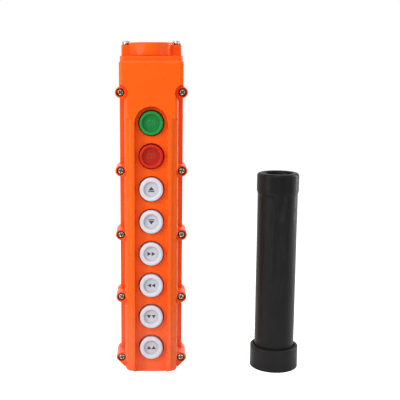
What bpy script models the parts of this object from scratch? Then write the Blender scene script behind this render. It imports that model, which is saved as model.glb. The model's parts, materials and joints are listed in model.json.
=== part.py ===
"""Pendant control station: a moulded housing with a column of push buttons, and its loose cable sleeve.

Metres, +Z up, front towards -Y. The origin is the middle of the housing's base, on the cable's axis.
"""

import math

import bmesh
import bpy
from mathutils import Vector

# Fits and walls
FIT_GAP = 0.0003
WALL = 0.003
OVERSHOOT = 0.01

# Roundness of the meshes
ARC_STEPS = 4
SMALL_SIDES = 12
CAP_SIDES = 20
LARGE_SIDES = 24
SMOOTH_ANGLE = math.radians(35)

# Push buttons, top to bottom
BUTTON_NAMES = ("on", "off", "up", "down", "east", "west", "south", "north")
CAP_RADIUS = 0.01175
CAP_EDGE = 0.0012
CAP_PROUD = 0.004
CAP_TRAVEL = 0.0035
CAP_SHELL = 0.0022
CAP_ROOF_WALL = 0.0014
CAP_RIM_WIDTH = 0.00355
CAP_DISH_DEPTH = 0.0016
CAP_STOP_REACH = 0.0018
CAP_STOP_THICKNESS = 0.0015
CAP_RUNNING_GAP = 0.00095
BUTTON_SPACING = 0.009

# Plungers, springs and contacts behind the buttons
PLUNGER_RADIUS = 0.003
PLUNGER_SOCKET_WALL = 0.0014
PILOT_RADIUS = 0.002
PILOT_REACH = 0.0025
SPRING_WIRE_RADIUS = 0.0005
SPRING_TURNS = 4
SPRING_TURN_POINTS = 8
BRIDGE_HALF_LENGTH = 0.012
BRIDGE_HALF_WIDTH = 0.0025
BRIDGE_THICKNESS = 0.001
BLOCK_SIDE_GAP = 0.004
BLOCK_SPACING = 0.0055
BLOCK_FRONT_WALL = 0.0096
BLOCK_REAR_WALL = 0.0044
BLOCK_SLOT_CLEARANCE = 0.0015
BLOCK_LEG_WIDTH = 0.004
BLOCK_LEG_HALF_HEIGHT = 0.005
STOP_CLEARANCE = 0.0005

# Seal strip and carrier plate that hold the buttons to the front cover
SEAL_THICKNESS = 0.002
PLATE_THICKNESS = 0.003
PLATE_OVERHANG = 0.00275
PLATE_SIDE_GAP = 0.0006
CARRIER_SCREW_INSET = 0.0034

# Front of the housing: channel, ridges and sloping sides
CHANNEL_MARGIN = 0.0046
CHANNEL_DEPTH = 0.006
CHANNEL_DRAFT = 0.0008
CHANNEL_FILLET = 0.0012
RIDGE_WIDTH = 0.0034
RIDGE_STEP = 0.0014
SLOPE_WIDTH = 0.0063
SLOPE_DROP = 0.001
SHOULDER_RISE = 0.003
SHOULDER_BLEND = 0.002
EDGE_RADIUS = 0.004
EDGE_EASE = 0.001
BASE_RADIUS = 0.0055
SIDE_DRAFT = 0.0012

# Housing depth: the parting plane lies behind the cable's axis
PARTING_Y = 0.008
SOCKET_FRONT_WALL = 0.0051
SOCKET_REAR_WALL = 0.0031
REAR_RADIUS = 0.005
GASKET_THICKNESS = 0.0009
GASKET_INSET = 0.0005

# Flange, screw lugs and the wider head
FLANGE_REACH = 0.0057
FLANGE_THICKNESS = 0.004
LUG_WALL = 0.0014
LUG_BITE = 0.00105
LUG_FLARE = math.radians(75)
LUG_SETBACK = 0.019
LUG_FOOT_ANGLE = math.radians(15)
LUG_FOOT_SLOPE = math.radians(45)
LUG_FLOOR = 0.002
LUG_SCALLOP = 0.0008
HEAD_LUG_SCALLOP = 0.0025
BASE_MARGIN = 0.00425
HEAD_REACH = 0.0051
HEAD_SCREW_MARGIN = 0.00715
SHELF_THICKNESS = 0.0029
TOP_WALL = 0.004
PLINTH_REACH = 0.004
PLINTH_SETBACK = 0.0025
PLINTH_HEIGHT = 0.0047
BOX_TOP_FALL = 0.0003
WIRE_HOLE_RADIUS = 0.016

# Collar that clamps the cable sleeve
COLLAR_WALL = 0.0023
COLLAR_HEIGHT = 0.0127
COLLAR_EASE = 0.0006
EAR_DROP = 0.0023
EAR_HALF_DEPTH = 0.0105
EAR_MARGIN = 0.0005
EAR_RADIUS = 0.002
SPOT_FACE_MARGIN = 0.0005

# Cable sleeve, standing beside the housing
SLEEVE_X = 0.1275
SLEEVE_HEIGHT = 0.2025
SLEEVE_RADIUS = 0.0202
SLEEVE_BORE_RADIUS = 0.015
SLEEVE_RIM_REACH = 0.0009
SLEEVE_RIM_HEIGHT = 0.0185
SLEEVE_FOOT_REACH = 0.0043
SLEEVE_FOOT_HEIGHT = 0.023
SLEEVE_EASE = 0.0012
SLEEVE_RUNNING_GAP = 0.0004

# Pan head screws: thread radius, head radius and head height
CASE_SCREW = (0.002, 0.0035, 0.0026)
COLLAR_SCREW = (0.002, 0.0041, 0.0042)
CARRIER_SCREW = (0.0015, 0.00275, 0.0019)
CASE_SCREW_SUNK = 0.0015
CASE_SCREW_GRIP = 0.009
COLLAR_SCREW_GRIP = 0.0075
CARRIER_SCREW_GRIP = 0.006
COUNTERBORE_MARGIN = 0.0006

# Shape of a screw's head, as shares of its radius and of its height
CROWN_RADIUS, CROWN_HEIGHT = 0.55, 0.93
BROW_RADIUS, BROW_HEIGHT = 0.88, 0.66
RIM_HEIGHT = 0.28
RECESS_HALF_WIDTH = 0.16
RECESS_REACH = 0.62
RECESS_DEPTH = 0.55

# Column of buttons, worked out from the sizes above
PITCH = 2 * CAP_RADIUS + BUTTON_SPACING
LUG_RADIUS = CASE_SCREW[1] + COUNTERBORE_MARGIN + LUG_WALL
LOWEST_SCREW_Z = LUG_RADIUS + BASE_MARGIN
LOWEST_BUTTON_Z = LOWEST_SCREW_Z + PITCH / 2
BUTTON_Z = [LOWEST_BUTTON_Z + PITCH * step for step in reversed(range(len(BUTTON_NAMES)))]
TOP_BUTTON_Z = BUTTON_Z[0]
PAIRS = [(index, index + 1) for index in range(0, len(BUTTON_NAMES), 2)]

# Widths, from the channel outwards
HOLE_RADIUS = CAP_RADIUS + CAP_RUNNING_GAP
CHANNEL_HALF = CAP_RADIUS + CHANNEL_MARGIN
RIDGE_OUTER = CHANNEL_HALF + RIDGE_WIDTH
BODY_HALF = RIDGE_OUTER + SLOPE_WIDTH
BASE_HALF = BODY_HALF - BASE_RADIUS
FLANGE_HALF = BODY_HALF + FLANGE_REACH
HEAD_HALF = BODY_HALF + HEAD_REACH
PLINTH_HALF = BODY_HALF + PLINTH_REACH
CAVITY_HALF = BODY_HALF - WALL
LUG_X = BODY_HALF + LUG_RADIUS - LUG_BITE

# Sleeve and the openings that it passes
SLEEVE_FOOT_RADIUS = SLEEVE_RADIUS + SLEEVE_FOOT_REACH
SOCKET_RADIUS = SLEEVE_FOOT_RADIUS + SLEEVE_RUNNING_GAP
SLEEVE_HOLE_RADIUS = SLEEVE_RADIUS + SLEEVE_RUNNING_GAP

# Depths, from the walls round the sleeve's socket
FRONT_Y = -SOCKET_RADIUS - SOCKET_FRONT_WALL
FLOOR_Y = FRONT_Y + CHANNEL_DEPTH
CAVITY_FRONT_Y = FLOOR_Y + WALL
LUG_FRONT_Y = FRONT_Y + LUG_SETBACK
SCREW_SEAT_Y = LUG_FRONT_Y + CASE_SCREW_SUNK + CASE_SCREW[2]
REAR_PARTING_Y = PARTING_Y + GASKET_THICKNESS + 2 * FIT_GAP
REAR_Y = SOCKET_RADIUS + SOCKET_REAR_WALL
CASE_SCREW_TIP_Y = REAR_PARTING_Y + CASE_SCREW_GRIP
CASE_SCREW_HOLE = CASE_SCREW[0] + FIT_GAP

# Heights of the head, from the top button upwards
SHOULDER_Z = TOP_BUTTON_Z + SHOULDER_RISE
TOP_SCREW_Z = TOP_BUTTON_Z + CHANNEL_HALF + LUG_RADIUS + HEAD_SCREW_MARGIN
CASE_SCREW_Z = [TOP_SCREW_Z] + [BUTTON_Z[lower] - PITCH / 2 for upper, lower in PAIRS]
SOCKET_BOTTOM_Z = TOP_SCREW_Z + SHELF_THICKNESS
SOCKET_TOP_Z = SOCKET_BOTTOM_Z + SLEEVE_FOOT_HEIGHT + 2 * FIT_GAP
BOX_TOP_Z = SOCKET_TOP_Z + TOP_WALL
PLINTH_TOP_Z = BOX_TOP_Z + PLINTH_HEIGHT

# Collar seat, ears and screws
COLLAR_BOTTOM_Z = PLINTH_TOP_Z + FIT_GAP
COLLAR_TOP_Z = COLLAR_BOTTOM_Z + COLLAR_HEIGHT
EAR_TOP_Z = COLLAR_TOP_Z - EAR_DROP
COLLAR_SCREW_X = SLEEVE_HOLE_RADIUS + COLLAR_SCREW[1]
EAR_HALF = COLLAR_SCREW_X + COLLAR_SCREW[1] + EAR_MARGIN

# Button stack, as heights above the channel floor along each button's own axis
SEAL_TOP = -WALL - FIT_GAP
PLATE_TOP = SEAL_TOP - SEAL_THICKNESS - FIT_GAP
PLATE_BOTTOM = PLATE_TOP - PLATE_THICKNESS
CAP_STOP_TOP = PLATE_BOTTOM - FIT_GAP
CAP_BOTTOM = CAP_STOP_TOP - CAP_STOP_THICKNESS
CAP_STOP_RADIUS = CAP_RADIUS + CAP_STOP_REACH
CAP_ROOF = CAP_PROUD - CAP_DISH_DEPTH - CAP_ROOF_WALL
CAP_SKIRT_RADIUS = CAP_RADIUS - CAP_SHELL
PLUNGER_SOCKET_RADIUS = PLUNGER_RADIUS + FIT_GAP
BOSS_RADIUS = PLUNGER_SOCKET_RADIUS + PLUNGER_SOCKET_WALL
SPRING_RADIUS = (BOSS_RADIUS + CAP_SKIRT_RADIUS) / 2
BLOCK_TOP = CAP_BOTTOM - CAP_TRAVEL - STOP_CLEARANCE
SLOT_TOP = BLOCK_TOP - BLOCK_FRONT_WALL
BRIDGE_TOP = SLOT_TOP - BLOCK_SLOT_CLEARANCE
SLOT_BOTTOM = BRIDGE_TOP - BRIDGE_THICKNESS - CAP_TRAVEL - BLOCK_SLOT_CLEARANCE
BLOCK_BOTTOM = SLOT_BOTTOM - BLOCK_REAR_WALL
BLOCK_HALF_WIDTH = CAVITY_HALF - BLOCK_SIDE_GAP
BLOCK_END = (PITCH - BLOCK_SPACING) / 2
PLATE_END = PITCH / 2 + PLATE_OVERHANG
CARRIER_SCREW_X = CAVITY_HALF - PLATE_SIDE_GAP - CARRIER_SCREW_INSET
CARRIER_SCREW_Z = (CASE_SCREW_Z[1], CASE_SCREW_Z[-2])

# Finishes: colour, roughness, metallic
FINISHES = {
    "orange_plastic": ((1.0, 0.13, 0.012), 0.4, 0.0),
    "green_plastic": ((0.013, 0.22, 0.05), 0.35, 0.0),
    "red_plastic": ((0.45, 0.02, 0.015), 0.35, 0.0),
    "white_plastic": ((0.78, 0.78, 0.83), 0.4, 0.0),
    "black_plastic": ((0.03, 0.03, 0.032), 0.5, 0.0),
    "natural_nylon": ((0.72, 0.7, 0.62), 0.5, 0.0),
    "black_rubber": ((0.025, 0.025, 0.026), 0.75, 0.0),
    "zinc_steel": ((0.62, 0.62, 0.63), 0.3, 1.0),
    "spring_steel": ((0.5, 0.5, 0.52), 0.35, 1.0),
    "contact_brass": ((0.72, 0.5, 0.2), 0.3, 1.0),
}


def finish(name):
    """The named finish as a material, made the first time it is asked for."""
    if name in bpy.data.materials:
        return bpy.data.materials[name]
    colour, roughness, metallic = FINISHES[name]
    material = bpy.data.materials.new(name)
    material.use_nodes = True
    shader = material.node_tree.nodes["Principled BSDF"]
    shader.inputs["Base Color"].default_value = (*colour, 1.0)
    shader.inputs["Roughness"].default_value = roughness
    shader.inputs["Metallic"].default_value = metallic
    return material


def placed(name, data, parent=None, location=(0, 0, 0), rotation=(0, 0, 0)):
    """A new object in the scene that shows the data, under the parent if there is one."""
    thing = bpy.data.objects.new(name, data)
    thing.parent = parent
    thing.location = location
    thing.rotation_euler = rotation
    bpy.context.scene.collection.objects.link(thing)
    return thing


def dressed(thing, finish_name):
    """Gives the object its finish and shades its round faces smooth."""
    thing.data.materials.clear()
    thing.data.materials.append(finish(finish_name))
    thing.data.shade_smooth()
    thing.data.set_sharp_from_angle(angle=SMOOTH_ANGLE)
    return thing


def solid(name, points, faces):
    """A closed mesh object with its faces turned outwards."""
    mesh = bpy.data.meshes.new(name)
    mesh.from_pydata(points, [], faces)
    shape = bmesh.new()
    shape.from_mesh(mesh)
    bmesh.ops.recalc_face_normals(shape, faces=shape.faces)
    shape.to_mesh(mesh)
    shape.free()
    return placed(name, mesh)


def loft(name, sections):
    """A solid through rings of points, all with the same number of points."""
    count = len(sections[0])
    points = [point for section in sections for point in section]
    faces = [tuple(range(count)), tuple(range(len(points) - count, len(points)))]
    for level in range(len(sections) - 1):
        for index in range(count):
            after = (index + 1) % count
            low = level * count
            faces.append((low + index, low + after, low + count + after, low + count + index))
    return solid(name, points, faces)


def prism_y(name, outline, start, end):
    """An outline of (x, z) points drawn out along Y."""
    return loft(name, [[(x, y, z) for x, z in outline] for y in (start, end)])


def prism_z(name, outline, start, end):
    """An outline of (x, y) points drawn out along Z."""
    return loft(name, [[(x, y, z) for x, y in outline] for z in (start, end)])


def box(name, low, high):
    """A block between two corners."""
    outline = [(low[0], low[1]), (high[0], low[1]), (high[0], high[1]), (low[0], high[1])]
    return prism_z(name, outline, low[2], high[2])


def circle(radius, sides, centre=(0.0, 0.0)):
    """Points round a circle."""
    turns = [2 * math.pi * step / sides for step in range(sides)]
    return [(centre[0] + radius * math.cos(a), centre[1] + radius * math.sin(a)) for a in turns]


def rounded(corners):
    """An outline through (x, y, radius) corners, each turned by an arc of its radius."""
    outline = []
    for index, (x, y, radius) in enumerate(corners):
        corner = Vector((x, y))
        if radius == 0:
            outline.append((x, y))
            continue
        before = (Vector(corners[index - 1][:2]) - corner).normalized()
        after = (Vector(corners[(index + 1) % len(corners)][:2]) - corner).normalized()
        half = before.angle(after) / 2
        centre = corner + (before + after).normalized() * radius / math.sin(half)
        start = corner + before * radius / math.tan(half) - centre
        end = corner + after * radius / math.tan(half) - centre
        first = math.atan2(start.y, start.x)
        turn = (math.atan2(end.y, end.x) - first + math.pi) % (2 * math.pi) - math.pi
        for step in range(ARC_STEPS + 1):
            angle = first + turn * step / ARC_STEPS
            outline.append((centre.x + radius * math.cos(angle), centre.y + radius * math.sin(angle)))
    return outline


def both_halves(half):
    """Corners of a right half followed by their mirror image in X."""
    return half + [(-x, *rest) for x, *rest in reversed(half)]


def turned(name, profile, sides):
    """A solid turned about Z from (radius, height) points. It is a ring where no point is on the axis."""
    points = []
    rings = []
    for radius, height in profile:
        ring = circle(radius, sides) if radius > 0 else [(0.0, 0.0)]
        rings.append(range(len(points), len(points) + len(ring)))
        points += [(x, y, height) for x, y in ring]
    faces = []
    closing = profile[0][0] > 0
    for level in range(len(rings) if closing else len(rings) - 1):
        low, high = rings[level], rings[(level + 1) % len(rings)]
        for index in range(sides):
            after = (index + 1) % sides
            corners = [low[index % len(low)], low[after % len(low)]]
            corners += [high[after % len(high)], high[index % len(high)]]
            faces.append(tuple(dict.fromkeys(corners)))
    return solid(name, points, faces)


def combine(target, tools, operation):
    """Cuts each tool from the target, or joins it on, and removes the tool."""
    for tool in tools:
        step = target.modifiers.new(operation, "BOOLEAN")
        step.operation = operation
        step.solver = "EXACT"
        step.object = tool
        bpy.context.view_layer.update()
        graph = bpy.context.evaluated_depsgraph_get()
        mesh = bpy.data.meshes.new_from_object(target.evaluated_get(graph))
        target.modifiers.clear()
        target.data = mesh
        bpy.data.objects.remove(tool)
    return target


def cut(target, tools):
    return combine(target, tools, "DIFFERENCE")


def join(target, tools):
    return combine(target, tools, "UNION")


def rods_y(radius, places, start, end, sides=SMALL_SIDES):
    """Round cutters along Y through (x, z) places."""
    return [prism_y("rod", circle(radius, sides, place), start, end) for place in places]


def rod_z(radius, start, end, centre=(0.0, 0.0), sides=LARGE_SIDES):
    """A round cutter along Z."""
    return prism_z("rod", circle(radius, sides, centre), start, end)


def lug_places():
    return [(side * LUG_X, z) for z in CASE_SCREW_Z for side in (-1, 1)]


def lugs(inset, start, end):
    """Screw lugs that flare into the housing's side. The lowest pair runs down to the base."""
    pieces = []
    radius = LUG_RADIUS - inset
    root = LUG_X - BODY_HALF + WALL / 2
    flare_height = radius / math.sin(LUG_FLARE) + root / math.tan(LUG_FLARE)
    for z in CASE_SCREW_Z:
        first, foot = -LUG_FLARE, [(-root, -flare_height)]
        if z == CASE_SCREW_Z[-1]:
            first, floor = -LUG_FOOT_ANGLE, inset + FIT_GAP - z
            run = (radius * math.sin(first) - floor) / math.tan(LUG_FOOT_SLOPE)
            foot = [(BASE_HALF - LUG_X, floor), (radius * math.cos(first) - run, floor)]
        turns = [first + (LUG_FLARE - first) * step / (2 * ARC_STEPS) for step in range(2 * ARC_STEPS + 1)]
        half = [(radius * math.cos(a), radius * math.sin(a)) for a in turns]
        outline = half + [(-root, flare_height), *foot]
        for side in (-1, 1):
            spots = [(side * (LUG_X + x), z + up) for x, up in outline]
            pieces.append(prism_y("lug", spots, start, end))
    return pieces


def flange(inset, start, end):
    """The plate round the parting plane, from the base up to the head."""
    half = FLANGE_HALF - inset
    outline = both_halves([(half, TOP_SCREW_Z), (half, LOWEST_SCREW_Z), (BASE_HALF, inset + FIT_GAP)])
    return prism_y("flange", outline, start, end)


def front_profile(half, inset, fall):
    """The front cover's section: a flat front, or ridges with sloping sides where fall is 1."""
    front = FRONT_Y + inset
    ridge = half - inset - SLOPE_WIDTH
    return rounded(both_halves([
        (half + SIDE_DRAFT - inset, PARTING_Y + OVERSHOOT, 0),
        (half + SIDE_DRAFT - inset, PARTING_Y, 0),
        (half - inset, front + (RIDGE_STEP + SLOPE_DROP) * fall, EDGE_RADIUS),
        (ridge + RIDGE_STEP, front + RIDGE_STEP * fall, 0),
        (ridge, front, 0),
    ]))


def rear_profile(half, inset, fall):
    """The rear cover's section, with round rear edges. It has no ridges, so fall changes nothing."""
    return rounded(both_halves([
        (half + SIDE_DRAFT - inset, REAR_PARTING_Y - OVERSHOOT, 0),
        (half + SIDE_DRAFT - inset, REAR_PARTING_Y, 0),
        (half - inset, REAR_Y - inset, REAR_RADIUS),
    ]))


def shell(name, profile):
    """A cover's outer form from the base to the plinth, which runs past the parting plane."""
    levels = []
    for step in range(ARC_STEPS + 1):
        angle = math.pi / 2 * step / ARC_STEPS
        inset = BASE_RADIUS * (1 - math.sin(angle))
        levels.append((BASE_RADIUS * (1 - math.cos(angle)), BODY_HALF, inset, 1))
    levels += [
        (SHOULDER_Z, BODY_HALF, 0.0, 1),
        (SHOULDER_Z + SHOULDER_BLEND, BODY_HALF, 0.0, 0),
        (TOP_SCREW_Z - HEAD_REACH, BODY_HALF, 0.0, 0),
        (TOP_SCREW_Z, HEAD_HALF, 0.0, 0),
        (BOX_TOP_Z - BOX_TOP_FALL - EDGE_EASE, HEAD_HALF, 0.0, 0),
        (BOX_TOP_Z - BOX_TOP_FALL, HEAD_HALF, EDGE_EASE, 0),
        (BOX_TOP_Z, PLINTH_HALF + PLINTH_SETBACK, PLINTH_SETBACK, 0),
        (PLINTH_TOP_Z, PLINTH_HALF + PLINTH_SETBACK, PLINTH_SETBACK, 0),
    ]
    sections = []
    for z, half, inset, fall in levels:
        sections.append([(x, y, z) for x, y in profile(half, inset, fall)])
    return loft(name, sections)


def slab(start, end):
    """A block across the whole housing between two depths."""
    wide = HEAD_HALF + LUG_X
    return box("slab", (-wide, start, -OVERSHOOT), (wide, end, PLINTH_TOP_Z + OVERSHOOT))


def hollow(target):
    """Cuts what both covers and the gasket share: cavity, sleeve socket, wire hole and screw holes."""
    rear = REAR_Y - WALL
    arch_top = TOP_BUTTON_Z + PLATE_END + WALL / 2
    return cut(target, [
        box("cavity", (-CAVITY_HALF, CAVITY_FRONT_Y, WALL), (CAVITY_HALF, rear, arch_top)),
        rod_z(WIRE_HOLE_RADIUS, arch_top - WALL, SOCKET_TOP_Z),
        rod_z(SOCKET_RADIUS, SOCKET_BOTTOM_Z, SOCKET_TOP_Z),
        rod_z(SLEEVE_HOLE_RADIUS, SOCKET_BOTTOM_Z + WALL, PLINTH_TOP_Z + OVERSHOOT),
        *rods_y(CASE_SCREW_HOLE, lug_places(), SCREW_SEAT_Y - OVERSHOOT, CASE_SCREW_TIP_Y + FIT_GAP),
    ])


def channel():
    """Cutter for the finger channel: round at the top, open at the base, with a fillet along its floor."""
    levels = [(FRONT_Y - OVERSHOOT, 0.0), (FRONT_Y, 0.0), (FLOOR_Y - CHANNEL_FILLET, CHANNEL_DRAFT)]
    for step in range(1, ARC_STEPS + 1):
        angle = math.pi / 2 * step / ARC_STEPS
        narrower = CHANNEL_DRAFT + CHANNEL_FILLET * (1 - math.cos(angle))
        levels.append((FLOOR_Y - CHANNEL_FILLET * (1 - math.sin(angle)), narrower))
    sections = []
    for y, narrower in levels:
        half = CHANNEL_HALF - narrower
        turns = [2 * math.pi * step / LARGE_SIDES for step in range(LARGE_SIDES // 2 + 1)]
        outline = [(half * math.cos(a), TOP_BUTTON_Z + half * math.sin(a)) for a in turns]
        outline += [(-half, -OVERSHOOT), (half, -OVERSHOOT)]
        sections.append([(x, y, z) for x, z in outline])
    return loft("channel", sections)


def scallops():
    """Cutters that clear the front cover's side in front of each lug and leave a shallow moat round it."""
    pieces = []
    for place in lug_places():
        margin = HEAD_LUG_SCALLOP if place[1] == TOP_SCREW_Z else LUG_SCALLOP
        outline = circle(LUG_RADIUS + margin, CAP_SIDES, place)
        pieces.append(prism_y("scallop", outline, FRONT_Y - OVERSHOOT, LUG_FRONT_Y + FIT_GAP))
    return pieces


def carrier_screw_places():
    return [(side * CARRIER_SCREW_X, z) for z in CARRIER_SCREW_Z for side in (-1, 1)]


def collar_screw_places():
    return [(side * COLLAR_SCREW_X, 0.0) for side in (-1, 1)]


def button_holes(radius, start, end):
    return [prism_y("hole", circle(radius, CAP_SIDES, (0, z)), start, end) for z in BUTTON_Z]


def front_cover():
    cover = shell("front_cover", front_profile)
    cut(cover, [channel(), *scallops()])
    join(cover, [flange(0.0, PARTING_Y - FLANGE_THICKNESS, PARTING_Y + OVERSHOOT / 2)])
    join(cover, lugs(0.0, LUG_FRONT_Y, PARTING_Y + OVERSHOOT / 4))
    hollow(cover)
    cut(cover, [slab(PARTING_Y, PARTING_Y + 2 * OVERSHOOT)])
    counterbore = CASE_SCREW[1] + COUNTERBORE_MARGIN
    cut(cover, rods_y(counterbore, lug_places(), LUG_FRONT_Y - OVERSHOOT, SCREW_SEAT_Y + FIT_GAP, CAP_SIDES))
    cut(cover, button_holes(HOLE_RADIUS, FLOOR_Y - OVERSHOOT, CAVITY_FRONT_Y + OVERSHOOT))
    carrier_hole_end = FLOOR_Y - PLATE_TOP - CARRIER_SCREW_GRIP
    cut(cover, rods_y(CARRIER_SCREW[0] + FIT_GAP, carrier_screw_places(), carrier_hole_end, PARTING_Y))
    collar_hole = COLLAR_SCREW[0] + FIT_GAP
    collar_hole_end = COLLAR_BOTTOM_Z - COLLAR_SCREW_GRIP - FIT_GAP
    for place in collar_screw_places():
        cut(cover, [rod_z(collar_hole, collar_hole_end, PLINTH_TOP_Z + OVERSHOOT, place, SMALL_SIDES)])
    return dressed(cover, "orange_plastic")


def rear_cover():
    cover = shell("rear_cover", rear_profile)
    join(cover, [flange(0.0, REAR_PARTING_Y - OVERSHOOT / 2, REAR_PARTING_Y + FLANGE_THICKNESS)])
    join(cover, lugs(0.0, REAR_PARTING_Y - OVERSHOOT / 4, CASE_SCREW_TIP_Y + LUG_FLOOR))
    hollow(cover)
    cut(cover, [slab(REAR_PARTING_Y - 2 * OVERSHOOT, REAR_PARTING_Y)])
    return dressed(cover, "orange_plastic")


def housing_gasket():
    """A sheet between the covers with their common outline, sliced from a thicker block."""
    start = PARTING_Y + FIT_GAP
    end = start + GASKET_THICKNESS
    head = [(HEAD_HALF, BOX_TOP_Z), (HEAD_HALF, TOP_SCREW_Z - HEAD_REACH)]
    inner_head = [(x - GASKET_INSET, z - GASKET_INSET) for x, z in head]
    gasket = prism_y("housing_gasket", both_halves(inner_head), start - OVERSHOOT, end + OVERSHOOT)
    join(gasket, [flange(GASKET_INSET, start - OVERSHOOT / 2, end + OVERSHOOT / 2)])
    join(gasket, lugs(GASKET_INSET, start - OVERSHOOT / 4, end + OVERSHOOT / 4))
    hollow(gasket)
    return dressed(combine(gasket, [slab(start, end)], "INTERSECT"), "black_rubber")


def gland_collar():
    """A ring round the sleeve with two ears, and a spot face in the ring's side for each screw."""
    outer = SLEEVE_HOLE_RADIUS + COLLAR_WALL
    collar = turned("gland_collar", [
        (0.0, COLLAR_TOP_Z),
        (outer - COLLAR_EASE, COLLAR_TOP_Z),
        (outer, COLLAR_TOP_Z - COLLAR_EASE),
        (outer, COLLAR_BOTTOM_Z - OVERSHOOT),
        (0.0, COLLAR_BOTTOM_Z - OVERSHOOT),
    ], LARGE_SIDES)
    spot = COLLAR_SCREW[1] + SPOT_FACE_MARGIN
    spot_bottom = EAR_TOP_Z - EAR_DROP
    for place in collar_screw_places():
        cut(collar, [rod_z(spot, spot_bottom, COLLAR_TOP_Z + OVERSHOOT, place, CAP_SIDES)])
    outline = rounded(both_halves([
        (EAR_HALF, -EAR_HALF_DEPTH, EAR_RADIUS),
        (EAR_HALF, EAR_HALF_DEPTH, EAR_RADIUS),
    ]))
    join(collar, [prism_z("ears", outline, COLLAR_BOTTOM_Z - OVERSHOOT / 2, EAR_TOP_Z)])
    wide = EAR_HALF + OVERSHOOT
    below = box("below", (-wide, -wide, COLLAR_BOTTOM_Z - 2 * OVERSHOOT), (wide, wide, COLLAR_BOTTOM_Z))
    cut(collar, [below, rod_z(SLEEVE_HOLE_RADIUS, COLLAR_BOTTOM_Z - OVERSHOOT, COLLAR_TOP_Z + OVERSHOOT)])
    hole = COLLAR_SCREW[0] + FIT_GAP
    for place in collar_screw_places():
        cut(collar, [rod_z(hole, COLLAR_BOTTOM_Z - OVERSHOOT, EAR_TOP_Z + OVERSHOOT, place, SMALL_SIDES)])
    return dressed(collar, "orange_plastic")


def cable_sleeve():
    """A stout rubber tube with a rim and a wider foot, standing with its front level with the housing's."""
    foot = SLEEVE_FOOT_RADIUS
    rim = SLEEVE_RADIUS + SLEEVE_RIM_REACH
    rim_bottom = SLEEVE_HEIGHT - SLEEVE_RIM_HEIGHT
    sleeve = turned("cable_sleeve", [
        (SLEEVE_BORE_RADIUS, SLEEVE_HEIGHT - SLEEVE_EASE),
        (SLEEVE_BORE_RADIUS + SLEEVE_EASE, SLEEVE_HEIGHT),
        (rim - SLEEVE_EASE, SLEEVE_HEIGHT),
        (rim, SLEEVE_HEIGHT - SLEEVE_EASE),
        (rim, rim_bottom),
        (SLEEVE_RADIUS, rim_bottom - SLEEVE_RIM_REACH),
        (SLEEVE_RADIUS, SLEEVE_FOOT_HEIGHT),
        (foot - SLEEVE_EASE, SLEEVE_FOOT_HEIGHT),
        (foot, SLEEVE_FOOT_HEIGHT - SLEEVE_EASE),
        (foot, SLEEVE_EASE),
        (foot - SLEEVE_EASE, 0.0),
        (SLEEVE_BORE_RADIUS, 0.0),
    ], LARGE_SIDES)
    sleeve.location = (SLEEVE_X, FRONT_Y + foot, 0.0)
    return dressed(sleeve, "black_rubber")


def screw_mesh(size, grip):
    """A pan head screw along Z with a cross recess. The underside of the head is at height 0."""
    thread, head, height = size
    screw = turned("screw", [
        (0.0, height),
        (head * CROWN_RADIUS, height * CROWN_HEIGHT),
        (head * BROW_RADIUS, height * BROW_HEIGHT),
        (head, height * RIM_HEIGHT),
        (head, 0.0),
        (thread, 0.0),
        (thread, -grip),
        (0.0, -grip),
    ], SMALL_SIDES)
    reach = head * RECESS_REACH
    half = head * RECESS_HALF_WIDTH
    corner = [(reach, -half), (reach, half), (half, half)]
    cross = []
    for quarter in range(4):
        turn = math.pi / 2 * quarter
        for x, y in corner:
            cross.append((x * math.cos(turn) - y * math.sin(turn), x * math.sin(turn) + y * math.cos(turn)))
    cut(screw, [prism_z("recess", cross, height * (1 - RECESS_DEPTH), height + OVERSHOOT)])
    mesh = dressed(screw, "zinc_steel").data
    bpy.data.objects.remove(screw)
    return mesh


def screws():
    facing_front = (math.pi / 2, 0, 0)
    case = screw_mesh(CASE_SCREW, CASE_SCREW_TIP_Y - SCREW_SEAT_Y)
    for row, z in enumerate(CASE_SCREW_Z, start=1):
        for side, word in ((-1, "left"), (1, "right")):
            location = (side * LUG_X, SCREW_SEAT_Y, z)
            placed(f"case_screw_{word}_{row}", case, None, location, facing_front)
    collar = screw_mesh(COLLAR_SCREW, EAR_TOP_Z - COLLAR_BOTTOM_Z + COLLAR_SCREW_GRIP)
    for side, word in ((-1, "left"), (1, "right")):
        placed(f"collar_screw_{word}", collar, None, (side * COLLAR_SCREW_X, 0, EAR_TOP_Z + FIT_GAP))
    carrier = screw_mesh(CARRIER_SCREW, PLATE_THICKNESS + CARRIER_SCREW_GRIP)
    seat_y = FLOOR_Y - PLATE_BOTTOM + FIT_GAP
    for number, (x, z) in enumerate(carrier_screw_places(), start=1):
        placed(f"carrier_screw_{number}", carrier, None, (x, seat_y, z), (-math.pi / 2, 0, 0))


def seal_strip():
    """A rubber sheet behind the channel floor whose holes wipe the caps."""
    return perforated_sheet("seal_strip", SEAL_TOP, SEAL_THICKNESS, "black_rubber")


def carrier_plate():
    """The plate that guides the caps and carries the contact blocks."""
    return perforated_sheet("carrier_plate", PLATE_TOP, PLATE_THICKNESS, "black_plastic")


def perforated_sheet(name, top, thickness, finish_name):
    """A sheet across the cavity with a hole for each cap and each carrier screw."""
    half = CAVITY_HALF - PLATE_SIDE_GAP
    front = FLOOR_Y - top
    rear = front + thickness
    sheet = box(name, (-half, front, BUTTON_Z[-1] - PLATE_END), (half, rear, TOP_BUTTON_Z + PLATE_END))
    cut(sheet, button_holes(CAP_RADIUS + FIT_GAP, front - OVERSHOOT, rear + OVERSHOOT))
    screw_hole = CARRIER_SCREW[0] + FIT_GAP
    cut(sheet, rods_y(screw_hole, carrier_screw_places(), front - OVERSHOOT, rear + OVERSHOOT))
    return dressed(sheet, finish_name)


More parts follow.
